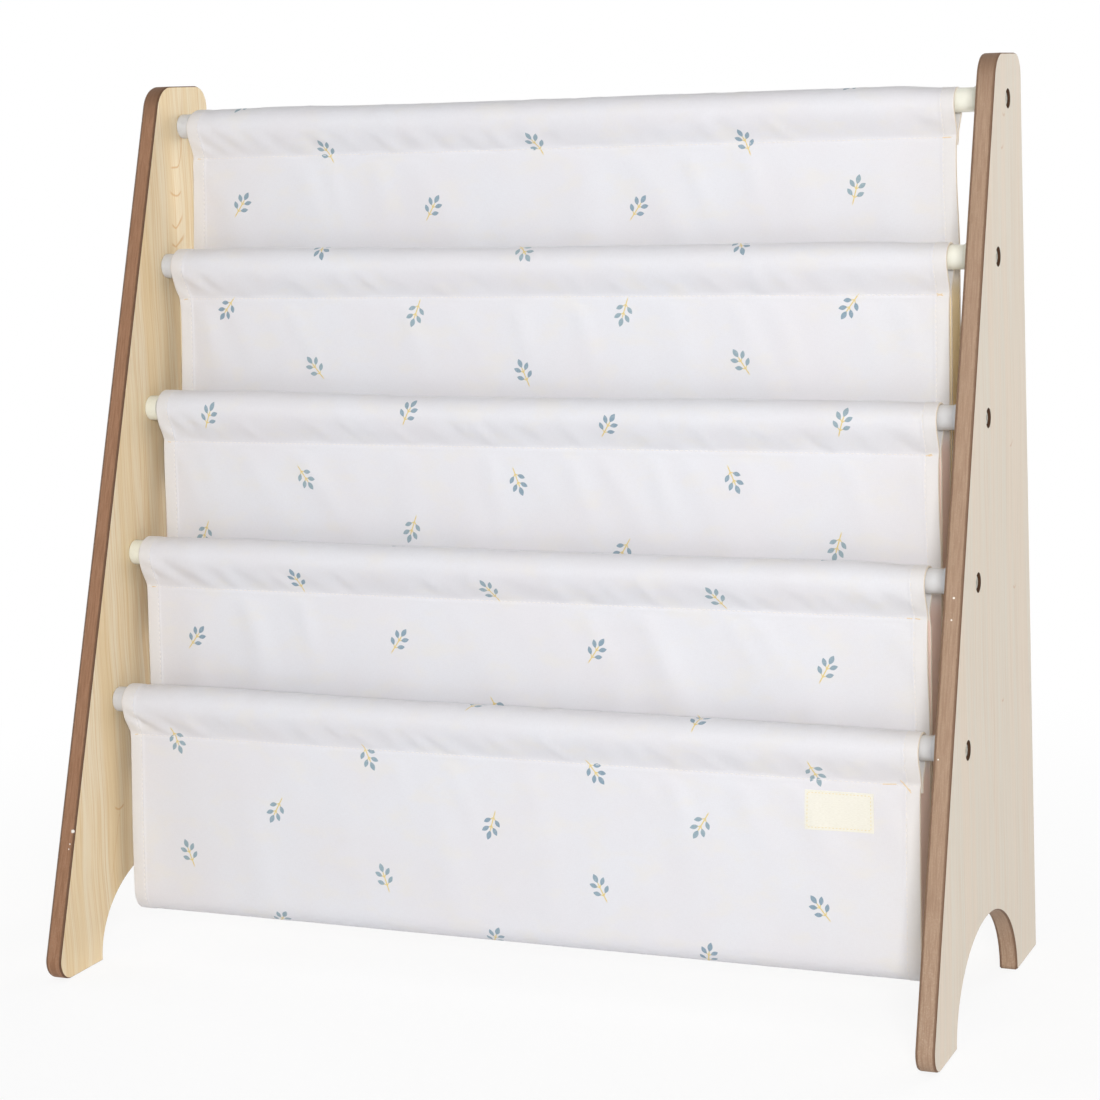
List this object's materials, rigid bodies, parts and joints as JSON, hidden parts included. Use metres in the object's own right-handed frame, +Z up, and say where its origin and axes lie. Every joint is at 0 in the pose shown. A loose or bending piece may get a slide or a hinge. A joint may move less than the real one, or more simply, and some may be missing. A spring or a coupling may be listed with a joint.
{
  "type": "sling bookshelf",
  "caption": "Child's sling bookshelf: two tapered wood side panels joined by rods, with fabric sling pockets hanging between them.",
  "frame": {"origin": "middle of the footprint, on the floor", "axes": "+X across the shelf to its right side as seen from the front, +Y to the back, +Z up"},
  "size_m": [0.62, 0.265, 0.602],
  "materials": {
    "board_core": "bare fibreboard edge, sealed brown",
    "maple_laminate": "satin maple-grain laminate",
    "white_tube": "satin white powder coat",
    "end_plug": "smooth moulded, pale grey",
    "threaded_insert": "turned",
    "bolt": "nickel plated",
    "sling_cloth": "white plain-weave polyester with a sparse printed sprig",
    "label_cloth": "cream woven tape, blank"
  },
  "bodies": {
    "root": {"left_panel_core": "board_core", "left_panel_inner_laminate": "maple_laminate", "left_panel_outer_laminate": "maple_laminate", "right_panel_core": "board_core", "right_panel_inner_laminate": "maple_laminate", "right_panel_outer_laminate": "maple_laminate", "rod_1_tube": "white_tube", "rod_1_left_end_plug": "end_plug", "rod_1_left_threaded_insert": "threaded_insert", "rod_1_left_bolt": "bolt", "rod_1_right_end_plug": "end_plug", "rod_1_right_threaded_insert": "threaded_insert", "rod_1_right_bolt": "bolt", "rod_2_tube": "white_tube", "rod_2_left_end_plug": "end_plug", "rod_2_left_threaded_insert": "threaded_insert", "rod_2_left_bolt": "bolt", "rod_2_right_end_plug": "end_plug", "rod_2_right_threaded_insert": "threaded_insert", "rod_2_right_bolt": "bolt", "rod_3_tube": "white_tube", "rod_3_left_end_plug": "end_plug", "rod_3_left_threaded_insert": "threaded_insert", "rod_3_left_bolt": "bolt", "rod_3_right_end_plug": "end_plug", "rod_3_right_threaded_insert": "threaded_insert", "rod_3_right_bolt": "bolt", "rod_4_tube": "white_tube", "rod_4_left_end_plug": "end_plug", "rod_4_left_threaded_insert": "threaded_insert", "rod_4_left_bolt": "bolt", "rod_4_right_end_plug": "end_plug", "rod_4_right_threaded_insert": "threaded_insert", "rod_4_right_bolt": "bolt", "rod_5_tube": "white_tube", "rod_5_left_end_plug": "end_plug", "rod_5_left_threaded_insert": "threaded_insert", "rod_5_left_bolt": "bolt", "rod_5_right_end_plug": "end_plug", "rod_5_right_threaded_insert": "threaded_insert", "rod_5_right_bolt": "bolt", "sling_casing_1": "sling_cloth", "sling_casing_2": "sling_cloth", "sling_casing_3": "sling_cloth", "sling_casing_4": "sling_cloth", "sling_casing_5": "sling_cloth", "sling_pocket_1": "sling_cloth", "sling_pocket_2": "sling_cloth", "sling_pocket_3": "sling_cloth", "sling_pocket_4": "sling_cloth", "sewn_label": "label_cloth"}
  },
  "joints": []
}
